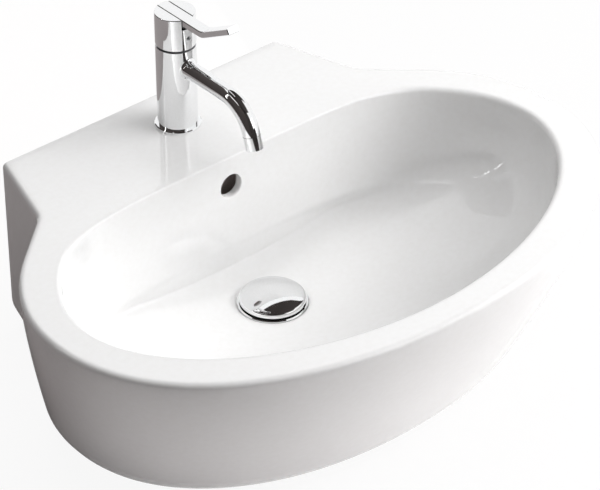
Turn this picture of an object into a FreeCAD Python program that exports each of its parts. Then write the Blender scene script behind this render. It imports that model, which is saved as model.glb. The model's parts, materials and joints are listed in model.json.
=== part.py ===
"""Countertop basin: a ceramic casting with a single-lever tap and a press-to-open waste.

Millimetres, +Z up. The origin is the middle of the basin's footprint on the counter that its foot
stands on. +Y points at the wall behind the basin, and the user stands at -Y.
"""
import FreeCAD, Part
import math
import os

V = FreeCAD.Vector

# Basin: overall sizes
WIDTH = 607.0
DEPTH = 460.0
RIM_H = 195.0

# Basin: plan of the rim, a superellipse with a tapered block that runs back to the wall
OVAL_DEPTH = 400.5
OVAL_POWER = 2.115
BACK_W = 340.0
FLANK_FLARE = 0.292
NECK_SHARE = 0.808
NECK_R = 32.0

# Basin: how the hull draws in below the rim and turns under to the foot
SIDE_DRAFT = 54.5
FRONT_DRAFT = 75.0
BACK_SWELL = 18.5
DRAFT_POWER = 1.3
RIM_R = 5.0
FOOT_R = 38.0
REAR_CHAMFER = 22.0

# Basin: bowl, drain and overflow
RIM_SIDE = 36.0
RIM_FRONT = 32.0
BOWL_OVAL_DEPTH = 340.0
BOWL_POWER = 1.942
BOWL_DEPTH = 136.0
BOWL_EDGE_R = 5.0
BACK_LEAN = 4.0
BACK_CORNER = 38.0
BACK_CREASE = 7.0
DRAIN_FLAT = 2.0
CERAMIC_T = 14.0
DRAIN_HOLE_R = 23.0
DRAIN_BOSS_H = 29.0
SEAT_DEPTH = 1.6
OVERFLOW_R = 12.3
OVERFLOW_DROP = 33.0
DUCT_W = 40.0
DUCT_T = 12.0
DUCT_RISE = 10.0
DUCT_WALL = 10.0

# Basin: underside and wall fixing
DECK_T = 16.0
FOOT_W = 34.0
RECESS_POWER = 2.8
WINDOW_W = 190.0
WINDOW_H = 130.0
WINDOW_R = 20.0
WALL_HOLE_SPACING = 280.0
WALL_HOLE_R = 7.0
WALL_HOLE_H = 115.0

# Where the tap and the drain stand on the basin
TAP_TO_WALL = 54.0
TAP_TO_BOWL = 79.0
BOWL_TO_DRAIN = 61.0

# Tap: body and spout
TAP_HOLE_R = 17.5
TAP_R = 19.75
BODY_TOP = 89.5
BASE_RING_R = 22.8
BASE_RING_H = 2.6
SPIGOT_R = 16.4
SPIGOT_L = 8.0
SPOUT_R = 8.5
SPOUT_WALL = 2.0
SPOUT_H = 69.7
SPOUT_REACH = 73.0
SPOUT_BEND_R = 40.0
SPOUT_TURN = 74.0
SPOUT_FILLET = 4.0
INLET_R = 4.5
INLET_DEEP = 12.0
INLET_X = 7.5
INLET_BACK = -5.5
WATERWAY_R = 3.0

# Tap: aerator at the end of the spout
AERATOR_L = 14.0
AERATOR_SPIGOT_R = 7.3
AERATOR_SPIGOT_L = 4.6
AERATOR_BORE_R = 5.6
AERATOR_SEAL_T = 1.2
INSERT_R = 7.0
INSERT_T = 6.0
INSERT_RECESS = 1.0
INSERT_HOLE_R = 0.75
INSERT_PITCH = 2.3

# Tap: cartridge in the body
CHAMBER_R = 14.5
CHAMBER_FLOOR = 54.0
BASE_T = 5.4
DISC_R = 11.8
DISC_T = 5.0
MOVING_R = 8.8
MOVING_T = 7.0
HOUSING_TOP = 82.0
HOUSING_ROOF = 5.5
SPINDLE_R = 9.0
SPINDLE_FLANGE_T = 3.0
SPINDLE_TOP = 108.0
STEM_PIVOT = 84.0
STEM_BALL_R = 3.0
STEM_NECK_R = 2.0
STEM_PIN_R = 1.2
STEM_TRAVEL = 5.3
NUT_TOP = 97.0
NUT_HEX = 24.0
SEAL_R = 4.8
SEAL_T = 1.4

# Tap: head and lever
GROOVE_H = 2.0
GLIDE_R = 18.6
GLIDE_SLEEVE_T = 1.1
GLIDE_SLEEVE_H = 3.0
HEAD_TOP = 125.5
HEAD_EDGE_R = 0.8
HUB_H = 8.0
HEAD_CAVITY_R = 12.5
SLOT_DEPTH = 11.0
SLOT_R = 0.8
SLOT_GAP = 0.55
SLOT_WEB = 1.5
LEVER_W = 13.0
LEVER_T = 6.6
LEVER_LEVEL = 45.5
LEVER_RISE = 29.0
LEVER_ARM = 45.0
LEVER_BEND_R = 14.0
LEVER_EDGE = 0.7
LEVER_TAIL_T = 2.0
LEVER_PIN_R = 1.5
TONGUE_W = 8.0
PRONG_T = 2.8
HEAD_SCREW_R = 2.5
HEAD_SCREW_RECESS = 0.6

# Tap: what holds it under the deck
STUD_R = 4.0
STUD_L = 62.0
STUD_BACK = 9.5
HORSESHOE_R = 25.0
HORSESHOE_GAP = 27.0
HORSESHOE_SLOT_END = 3.0
HORSESHOE_GASKET_T = 3.0
HORSESHOE_PLATE_T = 2.5
STUD_NUT_HEX = 13.0
STUD_NUT_L = 11.0

# Waste
FLANGE_R = 35.0
FLANGE_T = 1.8
FLANGE_EDGE = 0.8
TOP_SEAL_T = 1.2
TAIL_R = 20.95
TAIL_END_R = 20.0
THREAD_PAST_NUT = 1.0
TAIL_BORE_R = 18.4
TAIL_CLEAR_OF_COUNTER = 2.0
WINDOW_ARC_W = 20.0
WINDOW_COUNT = 4
GASKET_T = 6.0
GASKET_R = 33.0
WASHER_T = 1.5
WASHER_R = 31.0
WASTE_NUT_HEX = 54.0
WASTE_NUT_T = 9.0
SPIDER_T = 6.0
SPIDER_ARM_W = 4.0
SPIDER_BOSS_T = 3.0

# Plug
CAP_R = 32.5
CAP_DOME = 8.0
CAP_RIM_R = 3.5
CAP_BAND = 1.4
CAP_GAP = 1.5
CAP_T = 2.4
PLUG_TRAVEL = 8.0
PLUG_SEAL_R = 27.5
PLUG_SEAL_W = 4.5
PLUG_SEAL_T = 2.0
PLUG_STEM_R = 3.0
PLUNGER_R = 5.6
PLUNGER_L = 6.0
SLEEVE_T = 2.0
SLEEVE_FLOOR = 2.0
SPRING_WIRE = 0.8
SPRING_TURNS = 4
SPRING_H = 10.0

# Clearances
RUN = 0.06
SEAT = 0.05
SLIDE = 0.2
CLEAR = 0.3
LOOSE = 0.4

# Places worked out from the sizes above
WALL_Y = DEPTH / 2
FRONT_Y = -DEPTH / 2
TAP_Y = WALL_Y - TAP_TO_WALL
BOWL_BACK = TAP_Y - TAP_TO_BOWL
DRAIN_Y = BOWL_BACK - BOWL_TO_DRAIN
DRAIN_Z = RIM_H - BOWL_DEPTH
BOSS_Z = DRAIN_Z - DRAIN_BOSS_H
DECK_Z = RIM_H - DECK_T
DUCT_TOP = BOSS_Z + DUCT_WALL + DUCT_RISE
SEAT_Z = DRAIN_Z - SEAT_DEPTH
FLANGE_Z = SEAT_Z + TOP_SEAL_T
FLANGE_TOP = FLANGE_Z + FLANGE_T
CAP_Z = FLANGE_TOP + CAP_GAP
GASKET_Z = BOSS_Z - GASKET_T
WASHER_Z = GASKET_Z - WASHER_T
WASTE_NUT_Z = WASHER_Z - WASTE_NUT_T
HEAD_BOTTOM = BODY_TOP + GROOVE_H
LEVER_PIVOT = HEAD_TOP - LEVER_T / 2
STEM_BALL = SPINDLE_TOP + STEM_BALL_R
DISC_FLOOR = CHAMBER_FLOOR + LOOSE + BASE_T
MOVING_TOP = DISC_FLOOR + DISC_T + MOVING_T
STEM_FOOT = MOVING_TOP - STEM_BALL_R
CAVITY_TOP = HOUSING_TOP - HOUSING_ROOF
HUB_BOTTOM = SPINDLE_TOP - HUB_H


def box(x0, x1, y0, y1, z0, z1):
    """Box between two corners."""
    return Part.makeBox(x1 - x0, y1 - y0, z1 - z0, V(x0, y0, z0))


def rod(r, z0, z1, x=0.0, y=0.0):
    """Upright cylinder from z0 to z1."""
    return Part.makeCylinder(r, z1 - z0, V(x, y, z0))


def ring(r_out, r_in, z0, z1, x=0.0, y=0.0):
    """Upright ring from z0 to z1."""
    return rod(r_out, z0, z1, x, y).cut(rod(r_in, z0 - 1, z1 + 1, x, y))


def cross_rod(r, x0, x1, y, z):
    """Cylinder along X."""
    return Part.makeCylinder(r, x1 - x0, V(x0, y, z), V(1, 0, 0))


def hexagon(across, z0, z1, x=0.0, y=0.0):
    """Upright hexagonal prism, given its size across the flats."""
    corner = across / math.sqrt(3)
    turns = [math.radians(60 * k) for k in range(7)]
    wire = Part.makePolygon([V(x + corner * math.cos(t), y + corner * math.sin(t), z0) for t in turns])
    return Part.Face(wire).extrude(V(0, 0, z1 - z0))


def spun(points, x=0.0, y=0.0):
    """Solid turned about the upright axis at x, y from an outline of (radius, height) points."""
    wire = Part.makePolygon([V(x + r, y, z) for r, z in points + points[:1]])
    return Part.Face(wire).revolve(V(x, y, 0), V(0, 0, 1), 360)


def swept(edges, along):
    """Solid swept from the flat outline that a list of edges closes."""
    solid = Part.Face(Part.Wire(Part.__sortEdges__(edges))).extrude(along)
    return solid if solid.Volume > 0 else solid.reversed()


def line(a, b):
    """Straight edge."""
    return Part.LineSegment(a, b).toShape()


def arc(a, mid, b):
    """Round edge through three points."""
    return Part.Arc(a, mid, b).toShape()


def firm(points, closed):
    """Control points that bring a smooth curve back onto the points it would cut inside of."""
    out = []
    for k, here in enumerate(points):
        if closed or 0 < k < len(points) - 1:
            here = here + (here * 2 - points[k - 1] - points[(k + 1) % len(points)]) * (1 / 6)
        out.append(here)
    return out


def net(rows, closed):
    """Smooth surface over a net of points: u along each row, v from row to row."""
    rows = [firm(row, closed) for row in rows]
    across, down = len(rows[0]), len(rows)
    poles = [[row[u] for row in rows] for u in range(across)]
    u_knots = list(range(across + 1 if closed else across - 2))
    u_counts = [1] * len(u_knots) if closed else [4] + [1] * (across - 4) + [4]
    v_knots, v_counts = list(range(down - 2)), [4] + [1] * (down - 4) + [4]
    surface = Part.BSplineSurface()
    surface.buildFromPolesMultsKnots(poles, u_counts, v_counts, u_knots, v_knots, closed, False, 3, 3)
    return surface


def joined(faces):
    """Solid that a list of faces closes."""
    shell = Part.makeShell(faces)
    shell.sewShape()
    solid = Part.makeSolid(shell)
    return solid if solid.Volume > 0 else solid.reversed()


def signed_power(value, power):
    """Power of a number that keeps the number's sign."""
    return math.copysign(abs(value) ** power, value)


def rounded_corner(corner, into, away, r):
    """Start, middle and end of an arc that rounds a corner between two unit directions."""
    turn = into.getAngle(away)
    back = r * math.tan(turn / 2)
    inward = (away - into).normalize()
    return (corner - into * back, corner + inward * (r / math.cos(turn / 2) - r), corner + away * back)


def flank_x(y):
    """Half the width between the flat flanks at a given y."""
    return BACK_W / 2 + FLANK_FLARE * (WALL_Y - y)


def hull_row(depth, inset):
    """Points round the hull from wall to wall at a depth below the rim, drawn in by inset."""
    z = RIM_H - depth
    share = (max(depth - RIM_R, 0.0) / (RIM_H - RIM_R)) ** DRAFT_POWER
    half = WIDTH / 2 - SIDE_DRAFT * share - inset
    front = FRONT_Y + FRONT_DRAFT * share + inset
    back = FRONT_Y + OVAL_DEPTH + BACK_SWELL * share - inset
    middle, reach = (front + back) / 2, (back - front) / 2
    power = 2 / OVAL_POWER
    leave = math.acos(NECK_SHARE ** (1 / power))
    steps = 11
    right = []
    for k in range(steps + 1):
        t = -math.pi / 2 + (math.pi / 2 + leave) * k / steps
        across, along = signed_power(math.cos(t), power), signed_power(math.sin(t), power)
        right.append(V(half * across, middle + reach * along, z))
    cos, sin = math.cos(leave), math.sin(leave)
    toward_neck = V(-half * sin * cos ** (power - 1), reach * cos * sin ** (power - 1), 0).normalize()
    along_flank = V(-FLANK_FLARE, 1, 0).normalize()
    inset_x = inset * math.hypot(1, FLANK_FLARE)
    gap = flank_x(right[-1].y) - inset_x - right[-1].x
    neck = right[-1] + toward_neck * (gap / (toward_neck.x + FLANK_FLARE * toward_neck.y))
    bend = rounded_corner(neck, toward_neck, along_flank, NECK_R)
    right.append((right[-1] + bend[0]) * 0.5)
    right.extend(bend)
    end = V(flank_x(WALL_Y) - inset_x, WALL_Y, z)
    right.extend([bend[-1] + (end - bend[-1]) * k for k in (0.3, 0.65, 1.0)])
    return [V(-p.x, p.y, p.z) for p in reversed(right[1:])] + right


def hull():
    """Outer shape of the casting: rounded rim, drawn-in sides, rounded foot and a flat back."""
    easy = 0.45
    straight = RIM_H - FOOT_R - RIM_R
    levels = [(0.0, RIM_R), (0.0, easy * RIM_R), (easy * RIM_R, 0.0), (RIM_R, 0.0)]
    levels += [(RIM_R + straight * share, 0.0) for share in (0.15, 0.4, 0.7, 1.0)]
    levels += [(RIM_H - easy * FOOT_R, 0.0), (RIM_H, (1 - easy) * FOOT_R), (RIM_H, FOOT_R)]
    side = net([hull_row(*level) for level in levels], False)
    u0, u1, v0, v1 = side.bounds()
    rim, foot = side.vIso(v0), side.vIso(v1)
    over, under = line(side.value(u1, v0), side.value(u0, v0)), line(side.value(u1, v1), side.value(u0, v1))
    left, right = side.uIso(u0).toShape(), side.uIso(u1).toShape()
    flats = [[rim.toShape(), over], [foot.toShape(), under], [left, right, over, under]]
    flats = [Part.Face(Part.Wire(Part.__sortEdges__(edges))) for edges in flats]
    solid = joined([side.toShape()] + flats)
    x, edge = -WIDTH, REAR_CHAMFER + 1
    corners = [V(x, WALL_Y + 1, -1), V(x, WALL_Y + 1, edge), V(x, WALL_Y - edge, -1)]
    return solid.cut(swept(Part.makePolygon(corners + corners[:1]).Edges, V(2 * WIDTH, 0, 0)))


def soft_least(a, b, reach):
    """Smaller of two lengths, blended over a given reach."""
    share = min(max(0.5 + 0.5 * (b - a) / reach, 0.0), 1.0)
    return b + (a - b) * share - reach * share * (1 - share)


def bowl_row(share, grow):
    """Points round the bowl at a share of its depth, grown sideways: an oval with a flattened back."""
    sides = math.sqrt(max(1 - share ** 3, 0.0))
    back_share = max(1 - share ** 5, 0.0) ** 1.17
    floor_r = FLANGE_R + DRAIN_FLAT
    half = floor_r + (WIDTH / 2 - RIM_SIDE - floor_r) * sides + grow
    rim_front = FRONT_Y + RIM_FRONT
    front = DRAIN_Y - floor_r - (DRAIN_Y - floor_r - rim_front) * sides - grow
    back = DRAIN_Y + floor_r + (rim_front + BOWL_OVAL_DEPTH - DRAIN_Y - floor_r) * back_share + grow
    power = 2 / (BOWL_POWER + 1.5 * share ** 4 * (1 - share ** 20))
    z = RIM_H - BOWL_DEPTH * share
    middle, reach = (front + back) / 2, (back - front) / 2
    wall_top = RIM_H - BOWL_EDGE_R
    lean = BACK_LEAN * max(wall_top - z, 0.0) / (wall_top - DRAIN_Z + CERAMIC_T)
    crease = min(max((share - 0.72) / 0.14, 0.0), 1.0)
    blend = BACK_CORNER + (BACK_CREASE - BACK_CORNER) * crease * crease * (3 - 2 * crease)
    right = []
    for t in [-90 + 12 * k for k in range(10)] + [24 + 6 * k for k in range(12)]:
        t = math.radians(t)
        across, along = signed_power(math.cos(t), power), signed_power(math.sin(t), power)
        y = soft_least(middle + reach * along, BOWL_BACK - lean + grow, blend)
        right.append(V(half * across, y, z))
    return right + [V(-p.x, p.y, p.z) for p in reversed(right[1:-1])]


def bowl_space():
    """Space inside the bowl: a dish with a flat, leaning back wall and a flared edge."""
    flare = ((-0.35, 2.4), (0.1, 0.8), (0.6, 0.15), (1.5, 0.0), (3.0, 0.0))
    rows = [bowl_row(BOWL_EDGE_R * drop / BOWL_DEPTH, BOWL_EDGE_R * out) for drop, out in flare]
    turns = (16, 25, 33, 40, 45, 49, 53, 57, 61, 66, 73, 81, 90)
    rows += [bowl_row(math.sin(math.radians(turn)) ** (2 / 3), 0.0) for turn in turns]
    side = net(rows, True)
    v0, v1 = side.bounds()[2:]
    ends = [Part.Face(Part.Wire([side.vIso(v).toShape()])) for v in (v0, v1)]
    return joined([side.toShape()] + ends)


def foot_recess():
    """Recess in the foot, with a flat roof that the waste is clamped on."""
    half = WIDTH / 2 - SIDE_DRAFT - FOOT_R - FOOT_W
    front = FRONT_Y + FRONT_DRAFT + FOOT_R + FOOT_W
    middle, reach = (front + BOWL_BACK) / 2, (BOWL_BACK - front) / 2
    power = 2 / RECESS_POWER
    steps = 20
    points = []
    for k in range(steps):
        t = 2 * math.pi * k / steps
        across, along = signed_power(math.cos(t), power), signed_power(math.sin(t), power)
        points.append(V(half * across, middle + reach * along, -1))
    outline = Part.BSplineCurve()
    outline.buildFromPolesMultsKnots(firm(points, True), [1] * (steps + 1), list(range(steps + 1)), True, 3)
    return swept([outline.toShape()], V(0, 0, BOSS_Z + 1))


def plumbing_space():
    """Open space behind the bowl, under the tap deck, that narrows where the hull turns in to the foot."""
    front = BOWL_BACK + 2 * DUCT_WALL + DUCT_T
    back = WALL_Y - CERAMIC_T
    slope = math.hypot(1, FLANK_FLARE)
    sections = []
    for z, wall in ((-1, FOOT_R + CERAMIC_T), (FOOT_R + CERAMIC_T, CERAMIC_T), (DECK_Z, CERAMIC_T)):
        near, far = flank_x(front) - wall * slope, flank_x(back) - wall * slope
        plan = [V(-near, front, z), V(near, front, z), V(far, back, z), V(-far, back, z)]
        sections.append(Part.makePolygon(plan + plan[:1]))
    return Part.makeLoft(sections, True, True)


def overflow():
    """Overflow: a round hole in the bowl's back wall, a duct down behind it and on to the drain."""
    z = RIM_H - OVERFLOW_DROP
    mouth = V(0, BOWL_BACK - BACK_LEAN, z)
    hole = Part.makeCylinder(OVERFLOW_R, DUCT_WALL + DUCT_T + BACK_LEAN, mouth, V(0, 1, 0))
    half, front = DUCT_W / 2, BOWL_BACK + DUCT_WALL
    down = box(-half, half, front, front + DUCT_T, BOSS_Z + DUCT_WALL, z + OVERFLOW_R)
    along = box(-half, half, DRAIN_Y, front + DUCT_T, BOSS_Z + DUCT_WALL, DUCT_TOP)
    return hole.fuse([down, along])


def basin():
    """Ceramic casting with its bowl, holes, overflow duct, plumbing space and wall fixing holes."""
    body = hull()
    for space in (bowl_space(), foot_recess(), plumbing_space(), overflow()):
        body = body.cut(space)
    body = body.cut(rod(DRAIN_HOLE_R, 0, RIM_H, 0, DRAIN_Y))
    body = body.cut(rod(FLANGE_R + LOOSE, SEAT_Z, RIM_H, 0, DRAIN_Y))
    body = body.cut(rod(TAP_HOLE_R, DECK_Z - 1, RIM_H + 1, 0, TAP_Y))
    window = box(-WINDOW_W / 2, WINDOW_W / 2, WALL_Y - 2 * CERAMIC_T, WALL_Y + 1, -WINDOW_R, WINDOW_H)
    through = [e for e in window.Edges if e.BoundBox.YLength > 1 and e.BoundBox.ZMin > 0]
    body = body.cut(window.makeFillet(WINDOW_R, through))
    for side in (-1, 1):
        at = V(side * WALL_HOLE_SPACING / 2, WALL_Y - 2 * CERAMIC_T, WALL_HOLE_H)
        body = body.cut(Part.makeCylinder(WALL_HOLE_R, 3 * CERAMIC_T, at, V(0, 1, 0)))
    return body.Solids[0]


def on_tap(shape):
    """Move a tap piece from the tap's own axis and deck level to its place on the basin."""
    shape.translate(V(0, TAP_Y, RIM_H))
    return shape


def on_drain(shape):
    """Move a waste piece from the drain's axis to its place, at the same height."""
    shape.translate(V(0, DRAIN_Y, 0))
    return shape


def spout_path(r):
    """Level tube from the tap's axis and the bend that turns it down, with a given radius."""
    level = Part.makeCylinder(r, SPOUT_REACH, V(0, 0, SPOUT_H), V(0, -1, 0))
    circle = Part.Circle(V(0, -SPOUT_REACH, SPOUT_H), V(0, 1, 0), r).toShape()
    centre = V(0, -SPOUT_REACH, SPOUT_H - SPOUT_BEND_R)
    bend = Part.Face(Part.Wire([circle])).revolve(centre, V(1, 0, 0), SPOUT_TURN)
    return level, bend


def at_spout_end(shape):
    """Move a piece modelled on the Z axis, with the spout's end at z = 0, to the end of the spout."""
    turn = math.radians(SPOUT_TURN)
    y = -SPOUT_REACH - SPOUT_BEND_R * math.sin(turn)
    z = SPOUT_H - SPOUT_BEND_R + SPOUT_BEND_R * math.cos(turn)
    shape.rotate(V(0, 0, 0), V(1, 0, 0), SPOUT_TURN - 90)
    shape.translate(V(0, y, z))
    return on_tap(shape)


def tap_body():
    """Brass body and spout: cartridge chamber, waterways, inlets, stud hole and aerator seat."""
    shoulder = rod(TAP_R, BASE_RING_H, BODY_TOP)
    level, bend = spout_path(SPOUT_R)
    solid = shoulder.fuse(level)
    front = [e for e in solid.Edges if -TAP_R - 1 < e.BoundBox.YMin and e.BoundBox.YMax < 0]
    saddle = [e for e in front if e.BoundBox.YLength > 1 and e.BoundBox.ZLength > SPOUT_R]
    solid = solid.makeFillet(SPOUT_FILLET, saddle).fuse(bend)
    solid = solid.fuse(rod(SPIGOT_R, -SPIGOT_L, BASE_RING_H))
    bore, bore_bend = spout_path(SPOUT_R - SPOUT_WALL)
    solid = solid.cut(bore).cut(bore_bend)
    solid = solid.cut(rod(CHAMBER_R, CHAMBER_FLOOR, BODY_TOP + 1))
    for side in (-1, 1):
        x, y = side * INLET_X, INLET_BACK
        solid = solid.cut(rod(INLET_R, -SPIGOT_L - 1, INLET_DEEP - SPIGOT_L, x, y))
        solid = solid.cut(rod(WATERWAY_R, 0, CHAMBER_FLOOR + 1, x, y))
    solid = solid.cut(rod(STUD_R + SEAT, -SPIGOT_L - 1, INLET_DEEP - SPIGOT_L, 0, STUD_BACK))
    solid = on_tap(solid)
    seat = rod(AERATOR_SPIGOT_R + SEAT, -1, AERATOR_SPIGOT_L + AERATOR_SEAL_T + SEAT)
    return solid.cut(at_spout_end(seat)).removeSplitter()


def tap_base_ring():
    """Wider ring that the body stands on, with a groove for its seal."""
    solid = spun([(SPIGOT_R + SEAT, 0), (BASE_RING_R, 0), (BASE_RING_R, BASE_RING_H - 0.8),
                  (BASE_RING_R - 0.8, BASE_RING_H), (SPIGOT_R + SEAT, BASE_RING_H)])
    groove = ring(BASE_RING_R - 1.2, TAP_HOLE_R + 0.6, -1, BASE_RING_H / 2)
    return on_tap(solid.cut(groove))


def tap_base_seal():
    """Rubber ring in the base ring's groove, pressed on the deck."""
    return on_tap(ring(BASE_RING_R - 1.2 - SEAT, TAP_HOLE_R + 0.6 + SEAT, 0, BASE_RING_H / 2))


def aerator_housing():
    """Collar that carries on the spout's outside and holds the aerator insert."""
    body = rod(SPOUT_R, -AERATOR_L, 0)
    tip = [e for e in body.Edges if e.BoundBox.ZMax < -AERATOR_L + 1 and e.BoundBox.XLength > SPOUT_R]
    body = body.makeChamfer(0.5, tip).fuse(rod(AERATOR_SPIGOT_R, -1, AERATOR_SPIGOT_L))
    body = body.cut(rod(AERATOR_BORE_R, -AERATOR_L - 1, AERATOR_SPIGOT_L + 1))
    pocket = rod(INSERT_R + SEAT, -AERATOR_L - 1, -AERATOR_L + INSERT_RECESS + INSERT_T)
    return at_spout_end(body.cut(pocket))


def aerator_insert():
    """Plastic flow straightener: a disc with rings of small round holes."""
    z0 = -AERATOR_L + INSERT_RECESS
    body = rod(INSERT_R, z0, z0 + INSERT_T)
    holes = [rod(INSERT_HOLE_R, z0 - 1, z0 + INSERT_T + 1)]
    rows = int((INSERT_R - INSERT_HOLE_R) / INSERT_PITCH)
    for row in range(1, rows + 1):
        for k in range(6 * row):
            t = 2 * math.pi * k / (6 * row)
            x, y = row * INSERT_PITCH * math.cos(t), row * INSERT_PITCH * math.sin(t)
            holes.append(rod(INSERT_HOLE_R, z0 - 1, z0 + INSERT_T + 1, x, y))
    return at_spout_end(body.cut(holes))


def aerator_seal():
    """Rubber washer between the collar's spigot and the spout."""
    low = AERATOR_SPIGOT_L
    return at_spout_end(ring(AERATOR_SPIGOT_R, AERATOR_BORE_R, low, low + AERATOR_SEAL_T))


def cartridge_base():
    """Plastic base of the cartridge, with the two inlets and the recesses of their seals."""
    z0 = CHAMBER_FLOOR + LOOSE
    body = rod(CHAMBER_R - SLIDE, z0, DISC_FLOOR)
    for side in (-1, 1):
        x, y = side * INLET_X, INLET_BACK
        body = body.cut(rod(WATERWAY_R, z0 - 1, DISC_FLOOR + 1, x, y))
        body = body.cut(rod(SEAL_R + SEAT, z0 - 1, CHAMBER_FLOOR + SEAL_T, x, y))
    return on_tap(body)


def cartridge_seals():
    """Two rubber rings that seal the cartridge's inlets on the chamber floor."""
    top = CHAMBER_FLOOR + SEAL_T
    rings = [ring(SEAL_R, WATERWAY_R, CHAMBER_FLOOR, top, side * INLET_X, INLET_BACK) for side in (-1, 1)]
    return on_tap(Part.makeCompound(rings))


def cartridge_housing():
    """Plastic housing over the discs, with a roof that keeps the spindle in and a side outlet."""
    body = ring(CHAMBER_R - SLIDE, DISC_R + SLIDE, DISC_FLOOR, HOUSING_TOP)
    roof = ring(CHAMBER_R - SLIDE, SPINDLE_R + RUN, CAVITY_TOP, HOUSING_TOP)
    outlet = Part.makeCylinder(SPOUT_R - SPOUT_WALL, CHAMBER_R, V(0, 0, SPOUT_H), V(0, -1, 0))
    return on_tap(body.fuse(roof).removeSplitter().cut(outlet))


def fixed_disc():
    """Ceramic disc with the two inlet ports."""
    body = rod(DISC_R, DISC_FLOOR, DISC_FLOOR + DISC_T)
    for side in (-1, 1):
        body = body.cut(rod(WATERWAY_R, DISC_FLOOR - 1, DISC_FLOOR + DISC_T + 1, side * INLET_X, INLET_BACK))
    return on_tap(body)


def moving_disc():
    """Ceramic disc and carrier that the stem's foot pushes across the fixed disc."""
    z0 = DISC_FLOOR + DISC_T
    body = rod(MOVING_R, z0 + SEAT, MOVING_TOP)
    return on_tap(body.cut(rod(STEM_BALL_R + CLEAR, MOVING_TOP - 2 * STEM_BALL_R - CLEAR, MOVING_TOP + 1)))


def cartridge_spindle():
    """Turning spindle: a flange kept under the housing's roof and a neck slotted for the stem."""
    z0 = CAVITY_TOP - CLEAR - SPINDLE_FLANGE_T
    body = rod(DISC_R - SLIDE, z0, CAVITY_TOP - CLEAR).fuse(rod(SPINDLE_R, z0, SPINDLE_TOP))
    half = STEM_NECK_R + CLEAR
    lean = STEM_TRAVEL / (STEM_BALL - STEM_PIVOT)
    front = STEM_NECK_R + LOOSE + lean * (SPINDLE_TOP - STEM_PIVOT)
    back = STEM_NECK_R + LOOSE + lean * (STEM_PIVOT - z0)
    slot = box(-half, half, -front, half, STEM_PIVOT - half, SPINDLE_TOP + 1)
    slot = slot.fuse(box(-half, half, -half, back, z0 - 1, STEM_PIVOT + half))
    pin = cross_rod(STEM_PIN_R + SEAT, -SPINDLE_R, SPINDLE_R, 0, STEM_PIVOT)
    return on_tap(body.removeSplitter().cut(slot).cut(pin))


def spindle_pin():
    """Steel pin that the stem tilts on."""
    reach = math.sqrt(SPINDLE_R ** 2 - STEM_PIN_R ** 2) - CLEAR
    return on_tap(cross_rod(STEM_PIN_R, -reach, reach, 0, STEM_PIVOT))


def cartridge_stem():
    """Stem with a ball at each end: the lever's fork moves the top, and the foot moves the disc."""
    body = rod(STEM_NECK_R, STEM_FOOT, STEM_BALL)
    for z in (STEM_FOOT, STEM_BALL):
        body = body.fuse(Part.makeSphere(STEM_BALL_R, V(0, 0, z)))
    return on_tap(body.cut(cross_rod(STEM_PIN_R + RUN, -STEM_BALL_R, STEM_BALL_R, 0, STEM_PIVOT)))


def cartridge_nut():
    """Brass ring nut that clamps the cartridge in the chamber."""
    body = rod(CHAMBER_R - SEAT, HOUSING_TOP, BODY_TOP).fuse(hexagon(NUT_HEX, BODY_TOP, NUT_TOP))
    return on_tap(body.cut(rod(SPINDLE_R + CLEAR, HOUSING_TOP - 1, NUT_TOP + 1)))


def glide_ring():
    """Dark plastic ring that the head turns on, with a sleeve that centres it."""
    inner = NUT_HEX / math.sqrt(3) + CLEAR
    outer = max(inner, CHAMBER_R) + GLIDE_SLEEVE_T
    body = ring(GLIDE_R, inner, BODY_TOP, HEAD_BOTTOM - RUN)
    return on_tap(body.fuse(ring(outer, inner, BODY_TOP, HEAD_BOTTOM + GLIDE_SLEEVE_H)).removeSplitter())


def slot_floor_opening():
    """Half length of the opening that lets the lever's tongue swing, front and back."""
    reach = LEVER_PIVOT - STEM_BALL + STEM_BALL_R / 3
    tip = STEM_BALL_R + LOOSE + PRONG_T
    return tip + reach * STEM_TRAVEL / (LEVER_PIVOT - STEM_BALL) + LOOSE, tip + LOOSE


def tap_head():
    """Turning head: a cap with a hub on the spindle and a slot across its top for the lever."""
    body = rod(TAP_R, HEAD_BOTTOM, HEAD_TOP)
    rims = [e for e in body.Edges if e.BoundBox.ZLength < 1e-6]
    body = body.makeFillet(HEAD_EDGE_R, rims)
    sleeve = max(NUT_HEX / math.sqrt(3) + CLEAR, CHAMBER_R) + GLIDE_SLEEVE_T
    slot_floor = HEAD_TOP - SLOT_DEPTH
    body = body.cut(rod(sleeve + RUN, HEAD_BOTTOM - 1, HUB_BOTTOM))
    body = body.cut(rod(SPINDLE_R + SEAT, HUB_BOTTOM - 1, SPINDLE_TOP))
    body = body.cut(rod(HEAD_CAVITY_R, SPINDLE_TOP, slot_floor - SLOT_WEB))
    half = LEVER_W / 2 + SLOT_GAP
    slot = box(-half, half, -TAP_R - 1, TAP_R + 1, slot_floor, HEAD_TOP + 1)
    lower = [e for e in slot.Edges if e.BoundBox.YLength > 1 and e.BoundBox.ZMax < slot_floor + 1e-6]
    body = body.cut(slot.makeFillet(SLOT_R, lower))
    front, back = slot_floor_opening()
    tongue = TONGUE_W / 2 + LOOSE
    body = body.cut(box(-tongue, tongue, -front, back, SPINDLE_TOP, slot_floor + 1))
    pin = cross_rod(LEVER_PIN_R + SEAT, -half - 2 * LEVER_PIN_R, TAP_R, 0, LEVER_PIVOT)
    screw = Part.makeCylinder(HEAD_SCREW_R + SEAT, TAP_R, V(0, 0, SPINDLE_TOP - HUB_H / 2), V(0, -1, 0))
    return on_tap(body.cut(pin).cut(screw))


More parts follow.
